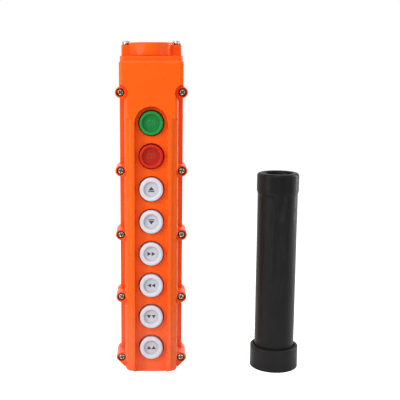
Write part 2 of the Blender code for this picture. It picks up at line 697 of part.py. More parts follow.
def cap_mesh(finish_name):
    """A dished cap with a hollow skirt, a stop flange and a socket for its plunger."""
    dish = CAP_RADIUS - CAP_RIM_WIDTH
    socket_top = CAP_ROOF - PLUNGER_SOCKET_WALL
    cap = turned("cap", [
        (0.0, CAP_PROUD - CAP_DISH_DEPTH),
        (dish - CAP_DISH_DEPTH, CAP_PROUD - CAP_DISH_DEPTH),
        (dish, CAP_PROUD),
        (CAP_RADIUS - CAP_EDGE, CAP_PROUD),
        (CAP_RADIUS, CAP_PROUD - CAP_EDGE),
        (CAP_RADIUS, CAP_STOP_TOP),
        (CAP_STOP_RADIUS, CAP_STOP_TOP),
        (CAP_STOP_RADIUS, CAP_BOTTOM),
        (CAP_SKIRT_RADIUS, CAP_BOTTOM),
        (CAP_SKIRT_RADIUS, CAP_ROOF),
        (BOSS_RADIUS, CAP_ROOF),
        (BOSS_RADIUS, CAP_BOTTOM),
        (PLUNGER_SOCKET_RADIUS, CAP_BOTTOM),
        (PLUNGER_SOCKET_RADIUS, socket_top),
        (0.0, socket_top),
    ], CAP_SIDES)
    mesh = dressed(cap, finish_name).data
    bpy.data.objects.remove(cap)
    return mesh


def plunger_mesh():
    """A rod from the cap's socket to the contact bridge, with a thinner pilot behind it."""
    top = CAP_ROOF - PLUNGER_SOCKET_WALL - FIT_GAP
    shoulder = BRIDGE_TOP + FIT_GAP
    tip = SLOT_BOTTOM - PILOT_REACH
    plunger = turned("plunger", [
        (0.0, top),
        (PLUNGER_RADIUS, top),
        (PLUNGER_RADIUS, shoulder),
        (PILOT_RADIUS, shoulder),
        (PILOT_RADIUS, tip),
        (0.0, tip),
    ], SMALL_SIDES)
    mesh = dressed(plunger, "natural_nylon").data
    bpy.data.objects.remove(plunger)
    return mesh


def bridge_mesh():
    """The brass strip on the plunger's pilot that joins two contacts when the button is pressed."""
    low = (-BRIDGE_HALF_LENGTH, -BRIDGE_HALF_WIDTH, BRIDGE_TOP - BRIDGE_THICKNESS)
    bridge = box("bridge", low, (BRIDGE_HALF_LENGTH, BRIDGE_HALF_WIDTH, BRIDGE_TOP))
    hole = circle(PILOT_RADIUS + FIT_GAP, SMALL_SIDES)
    cut(bridge, [prism_z("hole", hole, BRIDGE_TOP - OVERSHOOT, BRIDGE_TOP + OVERSHOOT)])
    mesh = dressed(bridge, "contact_brass").data
    bpy.data.objects.remove(bridge)
    return mesh


def spring_curve():
    """A coil of wire between the contact block and the roof of the cap."""
    low = BLOCK_TOP + FIT_GAP + SPRING_WIRE_RADIUS
    high = CAP_ROOF - FIT_GAP - SPRING_WIRE_RADIUS
    count = SPRING_TURNS * SPRING_TURN_POINTS
    points = []
    for step in range(count + 1):
        angle = 2 * math.pi * step / SPRING_TURN_POINTS
        place = (SPRING_RADIUS * math.cos(angle), SPRING_RADIUS * math.sin(angle))
        points.append(Vector((*place, low + (high - low) * step / count)))
    curve = bpy.data.curves.new("spring", "CURVE")
    curve.dimensions = "3D"
    curve.bevel_depth = SPRING_WIRE_RADIUS
    curve.bevel_resolution = 0
    curve.use_fill_caps = True
    line = curve.splines.new("POLY")
    line.points.add(count)
    for spot, point in zip(line.points, points):
        spot.co = (*point, 1.0)
    curve.materials.append(finish("spring_steel"))
    between = [(a - b).length for i, a in enumerate(points) for b in points[i + SPRING_TURN_POINTS // 2:]]
    print(f"spring: least gap between turns {1000 * (min(between) - 2 * SPRING_WIRE_RADIUS):.2f} mm")
    return curve


def contact_block(upper, lower):
    """The moulding behind two buttons, with guides for their plungers and slots for their bridges."""
    name = f"contact_block_{BUTTON_NAMES[upper]}_{BUTTON_NAMES[lower]}"
    front = FLOOR_Y - BLOCK_TOP
    rear = FLOOR_Y - BLOCK_BOTTOM
    half = BLOCK_HALF_WIDTH
    block = box(name, (-half, front, BUTTON_Z[lower] - BLOCK_END), (half, rear, BUTTON_Z[upper] + BLOCK_END))
    middle = (BUTTON_Z[upper] + BUTTON_Z[lower]) / 2
    leg_front = FLOOR_Y - PLATE_BOTTOM + FIT_GAP
    low_z, high_z = middle - BLOCK_LEG_HALF_HEIGHT, middle + BLOCK_LEG_HALF_HEIGHT
    for side in (-1, 1):
        inner, outer = sorted((side * half, side * (half - BLOCK_LEG_WIDTH)))
        join(block, [box("leg", (inner, leg_front, low_z), (outer, front + WALL, high_z))])
    for index in (upper, lower):
        z = BUTTON_Z[index]
        reach = BRIDGE_HALF_WIDTH + BLOCK_SLOT_CLEARANCE
        slot_front, slot_rear = FLOOR_Y - SLOT_TOP, FLOOR_Y - SLOT_BOTTOM
        wide = half + OVERSHOOT
        cut(block, [box("slot", (-wide, slot_front, z - reach), (wide, slot_rear, z + reach))])
        middle_y = (slot_front + slot_rear) / 2
        guide = PLUNGER_RADIUS + FIT_GAP
        pilot = PILOT_RADIUS + FIT_GAP
        cut(block, rods_y(guide, [(0.0, z)], front - OVERSHOOT, middle_y))
        cut(block, rods_y(pilot, [(0.0, z)], middle_y, rear + OVERSHOOT))
    return dressed(block, "black_plastic")


def buttons():
    """Each button's cap, plunger, bridge and spring, under an empty on the axis that it slides along."""
    plunger = plunger_mesh()
    bridge = bridge_mesh()
    spring = spring_curve()
    colours = {"on": "green_plastic", "off": "red_plastic"}
    for name, z in zip(BUTTON_NAMES, BUTTON_Z):
        axis = placed(f"axis_{name}", None, None, (0.0, FLOOR_Y, z), (math.pi / 2, 0, 0))
        placed(f"button_{name}", cap_mesh(colours.get(name, "white_plastic")), axis)
        placed(f"plunger_{name}", plunger, axis)
        placed(f"contact_bridge_{name}", bridge, axis)
        placed(f"return_spring_{name}", spring, axis)


def clear_scene():
    for thing in list(bpy.data.objects):
        bpy.data.objects.remove(thing)


def main():
    clear_scene()
    front_cover()
    rear_cover()
    housing_gasket()
    gland_collar()
    cable_sleeve()
    screws()
    seal_strip()
    carrier_plate()
    for upper, lower in PAIRS:
        contact_block(upper, lower)
    buttons()


main()
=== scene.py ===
"""Looks of the pendant control station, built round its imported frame.

Metres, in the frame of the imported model: +Z up, front towards -Y.
"""

import json
import math

import bmesh
import bpy
from mathutils import Matrix, Vector, noise


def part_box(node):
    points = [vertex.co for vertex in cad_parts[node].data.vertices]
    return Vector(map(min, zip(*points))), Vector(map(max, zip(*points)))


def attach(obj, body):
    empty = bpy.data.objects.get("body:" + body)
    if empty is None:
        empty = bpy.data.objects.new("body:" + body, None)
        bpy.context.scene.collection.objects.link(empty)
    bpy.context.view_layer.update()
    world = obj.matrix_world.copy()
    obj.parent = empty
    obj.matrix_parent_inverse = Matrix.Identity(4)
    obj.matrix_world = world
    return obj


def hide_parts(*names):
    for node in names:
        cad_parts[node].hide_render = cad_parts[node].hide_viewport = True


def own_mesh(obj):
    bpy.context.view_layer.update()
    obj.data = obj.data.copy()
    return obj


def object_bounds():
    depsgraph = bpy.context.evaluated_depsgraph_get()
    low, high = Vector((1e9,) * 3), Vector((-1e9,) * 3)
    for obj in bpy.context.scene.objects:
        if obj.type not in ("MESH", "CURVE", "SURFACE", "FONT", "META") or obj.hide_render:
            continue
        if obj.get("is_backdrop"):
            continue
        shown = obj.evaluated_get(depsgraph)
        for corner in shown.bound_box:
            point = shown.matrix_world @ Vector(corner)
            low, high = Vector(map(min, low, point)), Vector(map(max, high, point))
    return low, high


# Camera of the photograph, whose frame is 400 pixels square
PHOTO_SIDE = 400
FOCAL_PIXELS = 797
SENSOR_WIDTH = 36.0
CAMERA_PLACE = (0.0, -0.8, 0.3075)
CAMERA_PITCH = math.radians(9.5)
CAMERA_SHIFT = 0.1216

# Light: azimuth from the front and elevation in degrees, distance, width, height and power of each lamp
LAMPS = {
    "front": (0.0, 38.0, 1.3, 0.9, 0.5, 2.4),
    "key": (-36.0, 36.0, 1.3, 0.3, 0.9, 3.6),
    "left": (-62.0, 16.0, 0.9, 0.14, 0.9, 4.6),
    "right": (112.0, 10.0, 0.9, 0.15, 0.9, 6.0),
    "fill": (55.0, 20.0, 1.3, 0.3, 0.9, 2.5),
    "top": (0.0, 80.0, 1.2, 0.6, 0.4, 3.0),
}
WORLD_LEVEL = 0.17
FLOOR_HALF = 3.0
FLOOR_TONE = 0.8
FLOOR_GLOW = 0.87

# Buttons and their caps
BUTTON_NAMES = ("on", "off", "up", "down", "east", "west", "south", "north")
CAP_COLOURS = {"on": "green_plastic", "off": "red_plastic"}
CAP_RADIUS = 0.01175
CAP_SKIRT_RADIUS = 0.00955
CAP_STOP_THICKNESS = 0.0015
CAP_ROOF_DEPTH = 0.003
CAP_RIM_CROWN = 0.0005
CAP_EDGE_RADIUS = 0.0011
CAP_SIDES = 96
DISH_DEPTH = 0.0021
WHITE_DISH_RADIUS = 0.0078
COLOUR_DISH_RADIUS = 0.0091
DISH_BLEND = 0.0009
BOSS_RADIUS = 0.0047
BOSS_BORE_RADIUS = 0.0033
BOSS_BORE_ROOF = 0.0044

# Letters and marks in the dishes
LETTER_SIZE = 0.0085
LETTER_WIDTH = 0.58
LETTER_RISE = 0.0003
MARK_RISE = 0.00006
MARK_HEIGHT = 0.0036
MARK_WIDTH = 0.0058
PAIR_WIDTH = 0.0042
MARK_GAP = 0.0006
BAR_HEIGHT = 0.001

# Screws: height of the head and radius of the thread of each kind, and the turn from one to the next
SCREWS = {"case": (0.0026, 0.002), "collar": (0.0042, 0.002)}
SCREW_SIDES = 48
SCREW_TURN = math.radians(37)

# Screw heads, as shares of the head's height
HEAD_SHOULDER = 0.88
HEAD_DOME_RADIUS = 0.42
HEAD_EDGE_RADIUS = 0.12
RECESS_DEPTH = 0.8
CUTTER_TOP = 1.5

# Cross recess: reach and half width as shares of the head's radius, and shares of that reach at the bottom
# and the top of its cutter
RECESS_REACH = 0.66
RECESS_HALF_WIDTH = 0.2
RECESS_TAPER = 0.6
CUTTER_FLARE = 1.2

# Return springs
SPRING_TURNS = 7
SPRING_TURN_POINTS = 20
SPRING_WIRE_SIDES = 8
SPRING_WIRE_RADIUS = 0.0005
SPRING_CLOSED_TURNS = 1.25

# Sleeve
SLEEVE_SIDES = 144
SLEEVE_RADIUS = 0.0202
SLEEVE_BORE_RADIUS = 0.015
SLEEVE_RIM_HEIGHT = 0.0185
SLEEVE_RIM_REACH = 0.0009
SLEEVE_FOOT_HEIGHT = 0.023
SLEEVE_EDGE_RADIUS = 0.0012
SLEEVE_RIM_RADIUS = 0.003
SLEEVE_BEAD = 0.0005
SLEEVE_GROOVE_WIDTH = 0.0008
SLEEVE_GROOVE_DEPTH = 0.002
SLEEVE_STEP = 0.004
SLEEVE_WAVE = 0.00012
SLEEVE_WAVE_SCALE = 28.0

# Rounded edges of the mouldings, and the clear space that an edge needs, as shares of their width
MOULD_EDGE = 0.0005
MOULD_STEPS = 3
ROOM_ALONG = 2.0
ROOM_ACROSS = 1.5
ROOM_BESIDE = 1.0

# Meshes: points closer than the weld are one point, and faces that turn by less than the flat angle are one
# face. An edge is sharp from the smooth angle on, or from the flat angle on between two faces that are both
# larger than the large flat, in square metres.
WELD = 0.00005
FLAT_ANGLE = math.radians(1.5)
SMOOTH_ANGLE = math.radians(32)
LARGE_FLAT = 0.00005

# Steps in each arc of a turned profile
ARC_STEPS = 6

# Plastic: waves in a metre of its unevenness, and the reach of its grain, its wear and painted edge
# highlight, its painted shade and its paling towards the foot
TONE_WAVES = 30.0
SCUFF_WAVES = 260.0
GLOSS_WAVES = 75.0
GRAIN_WAVES = 2600.0
GRAIN_DEPTH = 0.00006
WORN_AND_HIGHLIT_EDGE = 0.0007
WIDE_HOLLOW = 0.012
TIGHT_HOLLOW = 0.002
CASE_PALING_LOW = 0.04
CASE_PALING_HIGH = 0.075

# Rubber
STREAK_WAVES = 160.0
CLOUD_WAVES = 40.0
PIT_WAVES = 1400.0
PIT_DEPTH = 0.0001
RUBBED_AND_HIGHLIT_EDGE = 0.0009
BORE_HOLLOW = 0.03
SLEEVE_PALING_HEIGHT = 0.17

# Metal
MOTTLE_WAVES = 420.0
SCRATCH_WAVES = 1900.0
SCRATCH_DEPTH = 0.00005
RECESS_HOLLOW = 0.0025

# White, and the turn that makes the top of a piece face the front
WHITE = (1.0, 1.0, 1.0)
TO_FRONT = (math.pi / 2, 0, 0)

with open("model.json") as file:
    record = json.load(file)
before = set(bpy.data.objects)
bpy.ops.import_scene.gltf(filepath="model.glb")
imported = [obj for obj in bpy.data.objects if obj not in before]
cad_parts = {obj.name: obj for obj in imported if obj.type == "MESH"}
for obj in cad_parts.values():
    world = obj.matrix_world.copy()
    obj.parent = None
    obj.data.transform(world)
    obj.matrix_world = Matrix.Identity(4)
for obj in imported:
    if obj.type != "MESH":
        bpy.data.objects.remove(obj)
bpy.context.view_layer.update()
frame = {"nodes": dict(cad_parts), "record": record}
nodes = frame["nodes"]


def add(tree, kind, inputs=None, **settings):
    """A shader node of that kind, with its settings made and its inputs set or linked."""
    made = tree.nodes.new("ShaderNode" + kind)
    for key, value in settings.items():
        setattr(made, key, value)
    for key, value in (inputs or {}).items():
        if isinstance(value, bpy.types.NodeSocket):
            tree.links.new(value, made.inputs[key])
        else:
            made.inputs[key].default_value = value
    return made


def new_material(name):
    """A material, its node tree and its shader."""
    made = bpy.data.materials.new(name)
    made.use_nodes = True
    return made, made.node_tree, made.node_tree.nodes["Principled BSDF"]


def object_place(tree, stretch=(1.0, 1.0, 1.0)):
    """Coordinates of the surface in metres, stretched along its axes."""
    place = add(tree, "TexCoord").outputs["Object"]
    return add(tree, "Mapping", {"Vector": place, "Scale": stretch}).outputs["Vector"]


def height_of(tree, place):
    """Height of the surface above its piece's origin."""
    return add(tree, "SeparateXYZ", {"Vector": place}).outputs["Z"]


def speckle(tree, place, waves, detail=3.0, roughness=0.55):
    """Noise from 0 to 1 with so many waves in a metre."""
    inputs = {"Vector": place, "Scale": waves, "Detail": detail, "Roughness": roughness}
    return add(tree, "TexNoise", inputs).outputs["Fac"]


def remap(tree, value, low, high, start=0.0, end=1.0):
    """The value's span from low to high, spread from start to end and held there."""
    inputs = {"Value": value, "From Min": low, "From Max": high, "To Min": start, "To Max": end}
    return add(tree, "MapRange", inputs, clamp=True).outputs["Result"]


def product(tree, first, second):
    """One value times another."""
    return add(tree, "Math", {0: first, 1: second}, operation="MULTIPLY").outputs["Value"]


def mixed(tree, share, first, second):
    """One colour passing into another. A mix node has its colours in inputs 6 and 7 and in output 2."""
    return add(tree, "Mix", {0: share, 6: first, 7: second}, data_type="RGBA").outputs[2]


def tint(colour, factor=1.0):
    """A colour made darker or lighter, as four numbers."""
    return (*[min(1.0, part * factor) for part in colour], 1.0)


def toward(colour, other, share):
    """A colour moved some of the way to another, as four numbers."""
    return (*[a + (b - a) * share for a, b in zip(colour, other)], 1.0)


def edge_mask(tree, radius, threshold):
    """1 along the edges of the solid and 0 on its flats, from its rounded normal."""
    soft = add(tree, "Bevel", {"Radius": radius}, samples=4).outputs["Normal"]
    hard = add(tree, "NewGeometry").outputs["Normal"]
    match = add(tree, "VectorMath", {0: soft, 1: hard}, operation="DOT_PRODUCT").outputs["Value"]
    return remap(tree, match, 1.0 - threshold, 1.0, 1.0, 0.0)


def openness(tree, reach, samples=6):
    """1 on an open surface, and less in a hollow whose walls are within reach."""
    return add(tree, "AmbientOcclusion", {"Distance": reach}, samples=samples).outputs["AO"]


def bumped(tree, height, strength, distance):
    """A normal that follows small hills of that height."""
    inputs = {"Height": height, "Strength": strength, "Distance": distance}
    return add(tree, "Bump", inputs).outputs["Normal"]


def plastic(name, colour, roughness, sheen=0.3, wear_and_highlight=0.35, crease_shade=0.35, dish=None, shade=None, foot_paling=0.0):
    """Moulded plastic: uneven tone, fine grain, edges paler by wear and painted highlight, corners in painted
    shade.

    The dish is the radius of a darker disc about the piece's own axis, painted as shade in the dish, and its
    tone.
    The shade is the deeper colour painted into wide hollows, standing in for light thrown from wall to wall.
    The foot paling is the share of white mixed in towards the foot of the case.
    """
    made, tree, shader = new_material(name)
    place = object_place(tree)
    tone = remap(tree, speckle(tree, place, TONE_WAVES, 5.0), 0.3, 0.7)
    base = mixed(tree, tone, tint(colour, 0.95), tint(colour, 1.04))
    upright = object_place(tree, (1.0, 1.0, 0.25))
    # Edges paler with wear and with a painted highlight along them, broken up by noise
    scuffs = remap(tree, speckle(tree, upright, SCUFF_WAVES, 6.0, 0.7), 0.5, 0.68)
    edges = product(tree, edge_mask(tree, WORN_AND_HIGHLIT_EDGE, 0.25), remap(tree, scuffs, 0.0, 1.0, 0.35, 1.0))
    base = mixed(tree, product(tree, edges, wear_and_highlight), base, toward(colour, WHITE, 0.35))
    # Painted shade: a darker disc in the cap's dish
    if dish:
        radius, dish_shade_tone = dish
        flat = object_place(tree, (1.0, 1.0, 0.0))
        across = add(tree, "VectorMath", {0: flat}, operation="LENGTH").outputs["Value"]
        inside = remap(tree, across, radius - DISH_BLEND, radius, 1.0, 0.0)
        base = mixed(tree, inside, base, tint(colour, dish_shade_tone))
    # Painted shade in wide hollows, in a deeper colour that stands in for light thrown from wall to wall
    deep = shade or tint(colour, 0.6)[:3]
    base = mixed(tree, remap(tree, openness(tree, WIDE_HOLLOW), 0.5, 1.0, 1.0, 0.0), base, tint(deep))
    # Painted shade in tight creases, darker still than in the wide hollows
    painted_crease_shade = remap(tree, openness(tree, TIGHT_HOLLOW), 0.25, 0.85, crease_shade, 0.0)
    base = mixed(tree, painted_crease_shade, base, tint(deep, 0.5))
    # Paler towards the foot of the case
    if foot_paling:
        low = remap(tree, height_of(tree, place), CASE_PALING_LOW, CASE_PALING_HIGH, foot_paling, 0.0)
        base = mixed(tree, product(tree, low, remap(tree, tone, 0.0, 1.0, 0.8, 1.0)), base, tint(WHITE))
    tree.links.new(base, shader.inputs["Base Color"])
    smears = speckle(tree, place, GLOSS_WAVES, 6.0, 0.65)
    gloss = remap(tree, smears, 0.3, 0.75, roughness - 0.06, roughness + 0.08)
    tree.links.new(gloss, shader.inputs["Roughness"])
    grain = speckle(tree, place, GRAIN_WAVES, 4.0)
    tree.links.new(bumped(tree, grain, 0.12, GRAIN_DEPTH), shader.inputs["Normal"])
    shader.inputs["Specular IOR Level"].default_value = sheen
    return made


def rubber(name, colour, sheen):
    """Black rubber: matt, with pale bloom in long streaks, paler low down and with a fine pitted skin."""
    made, tree, shader = new_material(name)
    place = object_place(tree)
    streaks = speckle(tree, object_place(tree, (1.0, 1.0, 0.12)), STREAK_WAVES, 6.0, 0.65)
    clouds = speckle(tree, place, CLOUD_WAVES, 5.0)
    bloom = product(tree, remap(tree, streaks, 0.42, 0.75), remap(tree, clouds, 0.35, 0.75))
    base = mixed(tree, bloom, tint(colour), toward(colour, (0.1, 0.1, 0.1), 0.3))
    # Paler low down
    low = remap(tree, height_of(tree, place), 0.0, SLEEVE_PALING_HEIGHT, 1.0, 0.0)
    foot_paling = product(tree, low, remap(tree, clouds, 0.2, 0.7, 0.6, 1.0))
    base = mixed(tree, foot_paling, base, toward(colour, WHITE, 0.012))
    # Edges paler with rubbing and with a painted highlight
    edges = product(tree, edge_mask(tree, RUBBED_AND_HIGHLIT_EDGE, 0.3), 0.35)
    base = mixed(tree, edges, base, toward(colour, (0.2, 0.2, 0.2), 0.5))
    # Painted shade deep in the bore, which is also rougher there
    hollow = openness(tree, BORE_HOLLOW)
    base = mixed(tree, remap(tree, hollow, 0.15, 0.6, 0.9, 0.0), base, tint(colour, 0.1))
    tree.links.new(base, shader.inputs["Base Color"])
    gloss = mixed(tree, remap(tree, hollow, 0.2, 0.6), tint(WHITE), remap(tree, clouds, 0.3, 0.7, 0.34, 0.46))
    tree.links.new(gloss, shader.inputs["Roughness"])
    pits = speckle(tree, place, PIT_WAVES, 5.0, 0.7)
    tree.links.new(bumped(tree, pits, 0.25, PIT_DEPTH), shader.inputs["Normal"])
    shader.inputs["Specular IOR Level"].default_value = sheen
    return made


def metal(name, colour, roughness, tarnish_and_dark_reflection, stretch=(1.0, 1.0, 1.0)):
    """Plated or drawn metal: mottled tarnish and painted dark reflection, faint scratches, painted shade in
    recesses.
    """
    made, tree, shader = new_material(name)
    place = object_place(tree, stretch)
    # Mottled with tarnish; on the zinc the dark mottle is also a painted dark reflection
    mottle = remap(tree, speckle(tree, place, MOTTLE_WAVES, 4.0), 0.35, 0.65)
    base = mixed(tree, mottle, tint(colour), tint(tarnish_and_dark_reflection))
    # Painted shade in recesses
    hollow = openness(tree, RECESS_HOLLOW, 8)
    base = mixed(tree, remap(tree, hollow, 0.5, 0.9, 0.97, 0.0), base, tint(colour, 0.03))
    tree.links.new(base, shader.inputs["Base Color"])
    scratches = speckle(tree, place, SCRATCH_WAVES, 5.0, 0.7)
    gloss = remap(tree, scratches, 0.3, 0.7, roughness - 0.08, roughness + 0.1)
    tree.links.new(gloss, shader.inputs["Roughness"])
    tree.links.new(bumped(tree, scratches, 0.15, SCRATCH_DEPTH), shader.inputs["Normal"])
    shader.inputs["Metallic"].default_value = 1.0
    return made


# Kind, colour and other settings of each finish
FINISHES = {
    "orange_plastic": (plastic, (1.0, 0.12, 0.003), {
        "roughness": 0.29, "sheen": 0.2, "shade": (1.0, 0.094, 0.0), "foot_paling": 0.038,
    }),
    "green_plastic": (plastic, (0.012, 0.285, 0.055), {
        "roughness": 0.34, "sheen": 0.17, "dish": (COLOUR_DISH_RADIUS, 0.74),
    }),
    "red_plastic": (plastic, (0.62, 0.022, 0.007), {
        "roughness": 0.34, "sheen": 0.17, "dish": (COLOUR_DISH_RADIUS, 0.74),
    }),
    "white_plastic": (plastic, (0.72, 0.71, 0.78), {
        "roughness": 0.38, "wear_and_highlight": 0.2, "dish": (WHITE_DISH_RADIUS, 0.91),
    }),
    "black_plastic": (plastic, (0.03, 0.03, 0.032), {"roughness": 0.5}),
    "natural_nylon": (plastic, (0.72, 0.7, 0.62), {"roughness": 0.5}),
    "black_rubber": (rubber, (0.0065, 0.0065, 0.0068), {"sheen": 0.09}),
    # The zinc's dark tarnish tone is also a painted dark reflection
    "zinc_steel": (metal, (0.78, 0.7, 0.6), {"roughness": 0.2, "tarnish_and_dark_reflection": (0.1, 0.08, 0.06)}),
    "spring_steel": (metal, (0.5, 0.5, 0.52), {
        "roughness": 0.32, "tarnish_and_dark_reflection": (0.4, 0.4, 0.41), "stretch": (1.0, 4.0, 1.0),
    }),
    "contact_brass": (metal, (0.75, 0.52, 0.2), {
        "roughness": 0.3, "tarnish_and_dark_reflection": (0.6, 0.38, 0.14), "stretch": (0.2, 1.0, 1.0),
    }),
    "mark_ink": (plastic, (0.05, 0.05, 0.058), {"roughness": 0.5, "sheen": 0.2, "wear_and_highlight": 0.0, "crease_shade": 0.0}),
    # Letters lighter than their caps, a painted highlight on the raised letters
    "on_letters": (plastic, (0.035, 0.36, 0.1), {"roughness": 0.34, "sheen": 0.17}),
    "off_letters": (plastic, (0.65, 0.035, 0.018), {"roughness": 0.34, "sheen": 0.17}),
}
MATERIALS = {name: make(name, colour, **settings) for name, (make, colour, settings) in FINISHES.items()}


def smoothed(mesh):
    """The mesh with its round faces smooth."""
    mesh.shade_smooth()
    mesh.set_sharp_from_angle(angle=SMOOTH_ANGLE)
    return mesh


def solid_mesh(name, points, faces):
    """A closed mesh with its faces turned outwards and its round faces smooth."""
    mesh = bpy.data.meshes.new(name)
    mesh.from_pydata(points, [], faces)
    shape = bmesh.new()
    shape.from_mesh(mesh)
    bmesh.ops.recalc_face_normals(shape, faces=shape.faces)
    shape.to_mesh(mesh)
    shape.free()
    return smoothed(mesh)


def eased(corners):
    """A path through (across, along, radius) corners, each turned by an arc of its radius."""
    path = []
    for index, (across, along, radius) in enumerate(corners):
        corner = Vector((across, along))
        if radius == 0:
            path.append((across, along))
            continue
        before = (Vector(corners[index - 1][:2]) - corner).normalized()
        after = (Vector(corners[(index + 1) % len(corners)][:2]) - corner).normalized()
        half = before.angle(after) / 2
        centre = corner + (before + after).normalized() * radius / math.sin(half)
        start = corner + before * radius / math.tan(half) - centre
        end = corner + after * radius / math.tan(half) - centre
        first = math.atan2(start.y, start.x)
        turn = (math.atan2(end.y, end.x) - first + math.pi) % math.tau - math.pi
        for step in range(ARC_STEPS + 1):
            angle = first + turn * step / ARC_STEPS
            path.append((centre.x + radius * math.cos(angle), centre.y + radius * math.sin(angle)))
    return path


def turned_mesh(name, profile, sides):
    """A solid turned about Z from (radius, height) points. It is a ring where no point is on the axis."""
    points = []
    rings = []
    for radius, height in profile:
        count = sides if radius > 0 else 1
        rings.append(range(len(points), len(points) + count))
        for step in range(count):
            angle = math.tau * step / sides
            points.append((radius * math.cos(angle), radius * math.sin(angle), height))
    faces = []
    closing = profile[0][0] > 0
    for level in range(len(rings) if closing else len(rings) - 1):
        low, high = rings[level], rings[(level + 1) % len(rings)]
        for index in range(sides):
            after = (index + 1) % sides
            corners = [low[index % len(low)], low[after % len(low)]]
            corners += [high[after % len(high)], high[index % len(high)]]
            faces.append(tuple(dict.fromkeys(corners)))
    return solid_mesh(name, points, faces)


def stack_faces(count, rings, first=0):
    """Faces of a closed stack of rings, each of that count of points, from the first point on."""
    last = first + count * (rings - 1)
    faces = [tuple(range(first, first + count)), tuple(range(last, last + count))]
    for low in range(first, last, count):
        for index in range(count):
            after = (index + 1) % count
            faces.append((low + index, low + after, low + count + after, low + count + index))
    return faces


def prism_mesh(name, outlines, low, high):
    """Flat (x, y) outlines drawn out along Z."""
    points = []
    faces = []
    for outline in outlines:
        faces += stack_faces(len(outline), 2, len(points))
        points += [(x, y, level) for level in (low, high) for x, y in outline]
    return solid_mesh(name, points, faces)


def shown_mesh(thing):
    """The mesh that an object in the scene shows, with its modifiers applied."""
    bpy.context.view_layer.update()
    return bpy.data.meshes.new_from_object(thing.evaluated_get(bpy.context.evaluated_depsgraph_get()))


def cut_mesh(mesh, tool_mesh):
    """The mesh with the tool taken out of it."""
    target = bpy.data.objects.new("target", mesh)
    tool = bpy.data.objects.new("tool", tool_mesh)
    for thing in (target, tool):
        bpy.context.scene.collection.objects.link(thing)
    step = target.modifiers.new("cut", "BOOLEAN")
    step.operation = "DIFFERENCE"
    step.solver = "EXACT"
    step.object = tool
    made = shown_mesh(target)
    for thing in (target, tool):
        bpy.data.objects.remove(thing)
    return smoothed(made)


def piece(name, mesh, slot, body, place=(0, 0, 0), turn=(0, 0, 0), stands_for=None, ink=None):
    """A new piece in the scene that rides a body, and stands for a node if one is named."""
    made = bpy.data.objects.new(name, mesh)
    made.location = place
    made.rotation_euler = turn
    bpy.context.scene.collection.objects.link(made)
    made.data.materials.clear()
    made.data.materials.append(MATERIALS[ink or slot])
    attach(made, body)
    if stands_for:
        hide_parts(stands_for)
    return made


def cap_mesh(name, dish_radius, depth):
    """A cap whose face is at height 0.

    It has a crowned rim, a blended dish, a stop flange, a hollow skirt and a boss for the plunger. All caps
    have the same flange, so its radius is read from one of them.
    """
    low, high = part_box("button_on")
    stop_radius = (high.x - low.x) / 2
    stop_top = -depth + CAP_STOP_THICKNESS
    crown = (dish_radius + CAP_RADIUS) / 2
    return turned_mesh(name, eased([
        (0.0, -DISH_DEPTH, 0),
        (dish_radius - DISH_BLEND, -DISH_DEPTH, DISH_BLEND / 2),
        (dish_radius, -CAP_RIM_CROWN / 2, DISH_BLEND / 3),
        (crown, 0.0, CAP_RADIUS / 6),
        (CAP_RADIUS, -CAP_RIM_CROWN, CAP_EDGE_RADIUS),
        (CAP_RADIUS, stop_top, 0),
        (stop_radius, stop_top, 0),
        (stop_radius, -depth, 0),
        (CAP_SKIRT_RADIUS, -depth, 0),
        (CAP_SKIRT_RADIUS, -CAP_ROOF_DEPTH, 0),
        (BOSS_RADIUS, -CAP_ROOF_DEPTH, 0),
        (BOSS_RADIUS, -depth, 0),
        (BOSS_BORE_RADIUS, -depth, 0),
        (BOSS_BORE_RADIUS, -BOSS_BORE_ROOF, 0),
        (0.0, -BOSS_BORE_ROOF, 0),
    ]), CAP_SIDES)


def letters_mesh(words):
    """Raised narrow letters, centred on the origin."""
    curve = bpy.data.curves.new(words, "FONT")
    curve.body = words
    curve.size = LETTER_SIZE
    curve.align_x = "CENTER"
    curve.align_y = "CENTER"
    curve.extrude = LETTER_RISE
    drawn = bpy.data.objects.new(words, curve)
    bpy.context.scene.collection.objects.link(drawn)
    mesh = shown_mesh(drawn)
    bpy.data.objects.remove(drawn)
    mesh.transform(Matrix.Diagonal((LETTER_WIDTH, 1.0, 1.0, 1.0)))
    return mesh


def triangle(centre, heading, width):
    """A triangle whose point lies along the heading, in degrees from +X."""
    half = MARK_HEIGHT / 2
    spots = [(half, 0.0), (-half, width / 2), (-half, -width / 2)]
    turn = Matrix.Rotation(math.radians(heading), 2)
    return [tuple(Vector(centre) + turn @ Vector(spot)) for spot in spots]


def barred(heading):
    """A triangle that points up or down, with a bar behind it."""
    step = (MARK_GAP + BAR_HEIGHT) / 2
    way = math.copysign(1.0, heading)
    middle = -way * (MARK_HEIGHT + MARK_GAP) / 2
    low, high = middle - BAR_HEIGHT / 2, middle + BAR_HEIGHT / 2
    half = MARK_WIDTH / 2
    bar = [(-half, low), (half, low), (half, high), (-half, high)]
    return [triangle((0, way * step), heading, MARK_WIDTH), bar]


def paired(heading):
    """Two triangles side by side that point the same way."""
    wide = MARK_HEIGHT if heading % 180 == 0 else PAIR_WIDTH
    apart = (wide + MARK_GAP) / 2
    return [triangle((side * apart, 0), heading, PAIR_WIDTH) for side in (-1, 1)]


def mark_outlines():
    """A plain direction mark for each white cap."""
    return {
        "up": barred(90),
        "down": barred(-90),
        "east": paired(0),
        "west": paired(180),
        "south": paired(-90),
        "north": paired(90),
    }


